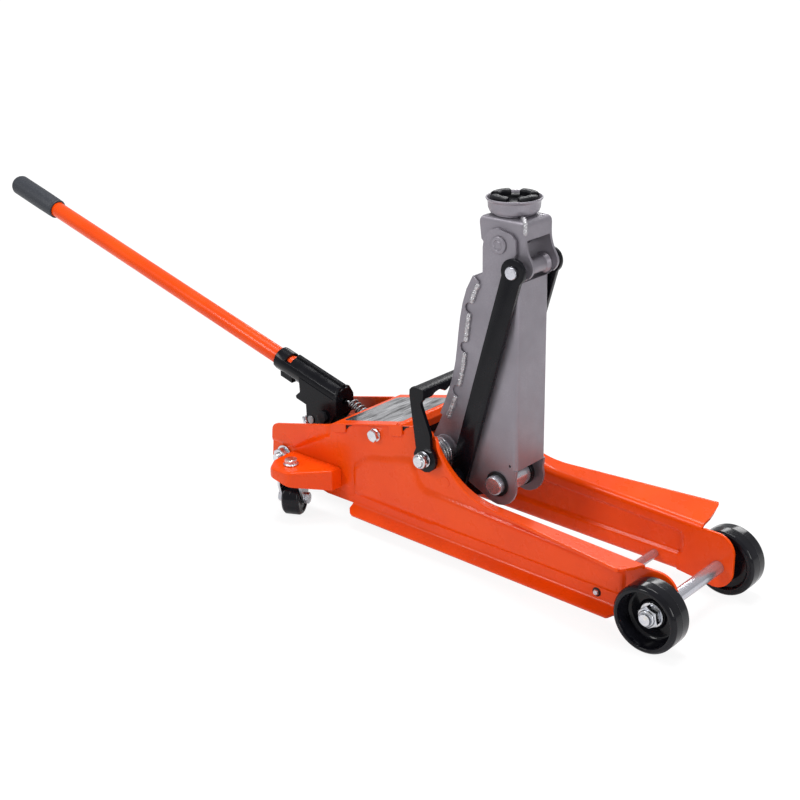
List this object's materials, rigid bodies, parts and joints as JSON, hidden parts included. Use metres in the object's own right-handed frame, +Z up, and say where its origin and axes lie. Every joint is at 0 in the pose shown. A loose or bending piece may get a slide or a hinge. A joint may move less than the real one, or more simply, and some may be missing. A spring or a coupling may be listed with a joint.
{
  "type": "trolley jack",
  "caption": "Low hydraulic trolley jack with pressed side plates, raised lift arm and swivelling saddle, pump handle, front wheels and swivel casters.",
  "frame": {"origin": "on the floor, midway along the overall length with the handle, on the centre plane", "axes": "+X towards the front wheels, +Y to the jack's left, +Z up"},
  "size_m": [1.0778, 0.2078, 0.38],
  "materials": {
    "orange_paint": "gloss orange enamel",
    "silver_paint": "satin silver-grey enamel",
    "black_paint": "satin black enamel",
    "zinc": "bright zinc plating",
    "dark_steel": "machined steel, lightly oiled",
    "black_nylon": "glossy moulded nylon",
    "rubber": "matt moulded rubber"
  },
  "bodies": {
    "frame": {"side_plate_left": "orange_paint", "side_plate_right": "orange_paint", "front_axle": "zinc", "axle_nut_left": "zinc", "axle_nut_right": "zinc", "front_tie_rod": "zinc", "caster_bracket_left": "orange_paint", "caster_bracket_right": "orange_paint", "king_bolt_left": "zinc", "king_bolt_right": "zinc", "main_pivot_shaft": "zinc", "pivot_spacer_left": "zinc", "pivot_spacer_right": "zinc", "main_pivot_nut_left": "zinc", "main_pivot_nut_right": "zinc", "link_pin_left": "zinc", "link_pin_right": "zinc", "head_block": "dark_steel", "head_bolt_left": "zinc", "head_bolt_right": "zinc", "hydraulic_cylinder": "black_paint", "pump_block": "dark_steel", "rear_stud_left": "zinc", "rear_stud_right": "zinc", "pump_spring": "zinc", "socket_pivot_bolt": "zinc", "handle_return_spring": "zinc", "top_cover": "orange_paint"},
    "front_wheel_left": {"front_wheel_left": "black_nylon"},
    "front_wheel_right": {"front_wheel_right": "black_nylon"},
    "caster_left": {"caster_fork_left": "zinc", "caster_axle_left": "zinc"},
    "caster_right": {"caster_fork_right": "zinc", "caster_axle_right": "zinc"},
    "caster_wheel_left": {"caster_wheel_left": "black_nylon"},
    "caster_wheel_right": {"caster_wheel_right": "black_nylon"},
    "arm": {"lift_arm": "silver_paint", "arm_back_plate": "silver_paint", "arm_pivot_sleeve": "silver_paint", "crank_pin": "dark_steel", "saddle_pivot_pin": "silver_paint"},
    "yoke": {"saddle_yoke": "silver_paint", "yoke_spacer": "silver_paint", "upper_link_pin": "zinc"},
    "saddle": {"saddle_cup": "silver_paint", "saddle_pad": "rubber"},
    "levelling_links": {"levelling_link_left": "black_paint", "levelling_link_right": "black_paint"},
    "connecting_links": {"connecting_link_left": "black_paint", "connecting_link_right": "black_paint"},
    "ram": {"ram": "dark_steel"},
    "socket": {"handle_socket": "black_paint", "pump_roller": "dark_steel"},
    "plunger": {"pump_plunger": "dark_steel"},
    "handle": {"handle_tube": "orange_paint", "handle_grip": "rubber"},
    "valve": {"release_valve": "zinc"},
    "carry_handle": {"carry_handle": "black_nylon"}
  },
  "joints": [
    {"name": "front_wheel_left_spin", "type": "hinge", "parent": "frame", "child": "front_wheel_left", "pos_m": [0.50588, 0, 0.0335], "axis": [0, 1, 0], "continuous": true},
    {"name": "front_wheel_right_spin", "type": "hinge", "parent": "frame", "child": "front_wheel_right", "pos_m": [0.50588, 0, 0.0335], "axis": [0, 1, 0], "continuous": true},
    {"name": "caster_swivel_left", "type": "hinge", "parent": "frame", "child": "caster_left", "pos_m": [0.05588, 0.083, 0.05], "axis": [0, 0, 1], "continuous": true},
    {"name": "caster_swivel_right", "type": "hinge", "parent": "frame", "child": "caster_right", "pos_m": [0.05588, -0.083, 0.05], "axis": [0, 0, 1], "continuous": true},
    {"name": "caster_wheel_left_spin", "type": "hinge", "parent": "caster_left", "child": "caster_wheel_left", "pos_m": [0.0527, 0.07676, 0.0195], "axis": [-0.891, 0.454, 0], "continuous": true},
    {"name": "caster_wheel_right_spin", "type": "hinge", "parent": "caster_right", "child": "caster_wheel_right", "pos_m": [0.0527, -0.07676, 0.0195], "axis": [-0.891, -0.454, 0], "continuous": true},
    {"name": "lift_arm_lower", "type": "hinge", "parent": "frame", "child": "arm", "pos_m": [0.22788, 0, 0.1075], "axis": [0, 1, 0], "range_deg": [0, 79]},
    {"name": "saddle_yoke_pivot", "type": "hinge", "parent": "arm", "child": "yoke", "pos_m": [0.29388, 0, 0.3345], "axis": [0, 1, 0], "range_deg": [-79, 0]},
    {"name": "saddle_swivel", "type": "hinge", "parent": "yoke", "child": "saddle", "pos_m": [0.29318, 0, 0.365], "axis": [0, 0, 1], "continuous": true},
    {"name": "levelling_links_pivot", "type": "hinge", "parent": "frame", "child": "levelling_links", "pos_m": [0.24938, 0, 0.0855], "axis": [0, 1, 0], "range_deg": [0, 79]},
    {"name": "connecting_links_pivot", "type": "hinge", "parent": "arm", "child": "connecting_links", "pos_m": [0.29488, 0, 0.087], "axis": [0, 1, 0], "range_deg": [-40, 0]},
    {"name": "ram_slide", "type": "slide", "parent": "frame", "child": "ram", "axis": [1, 0, 0], "range_m": [-0.0785, 0]},
    {"name": "handle_pump", "type": "hinge", "parent": "frame", "child": "socket", "pos_m": [0.03988, 0, 0.092], "axis": [0, 1, 0], "range_deg": [-6, 46], "deforming": ["handle_return_spring"]},
    {"name": "pump_plunger_slide", "type": "slide", "parent": "frame", "child": "plunger", "axis": [0, 0, 1], "range_m": [-0.003, 0.018], "deforming": ["pump_spring"]},
    {"name": "handle_twist", "type": "hinge", "parent": "socket", "child": "handle", "pos_m": [-0.04712, 0, 0.1436], "axis": [-0.9639, 0, 0.2662], "range_deg": [0, 180]},
    {"name": "release_valve_turn", "type": "hinge", "parent": "frame", "child": "valve", "pos_m": [0.00688, 0, 0.05], "axis": [-0.3657, 0, 0.9308], "range_deg": [0, 180]},
    {"name": "carry_handle_swing", "type": "hinge", "parent": "frame", "child": "carry_handle", "pos_m": [0.22788, 0, 0.1075], "axis": [0, 1, 0], "range_deg": [-50, 3]}
  ],
  "couplings": [
    {"joint": "saddle_yoke_pivot", "follows": "lift_arm_lower", "ratio": -1},
    {"joint": "levelling_links_pivot", "follows": "lift_arm_lower", "ratio": 1},
    {"joint": "connecting_links_pivot", "follows": "lift_arm_lower", "ratio": -0.42},
    {"joint": "ram_slide", "follows": "lift_arm_lower", "m_per_rad": -0.056571},
    {"joint": "pump_plunger_slide", "follows": "handle_pump", "m_per_rad": 0.02117},
    {"joint": "release_valve_turn", "follows": "handle_twist", "ratio": 1}
  ]
}
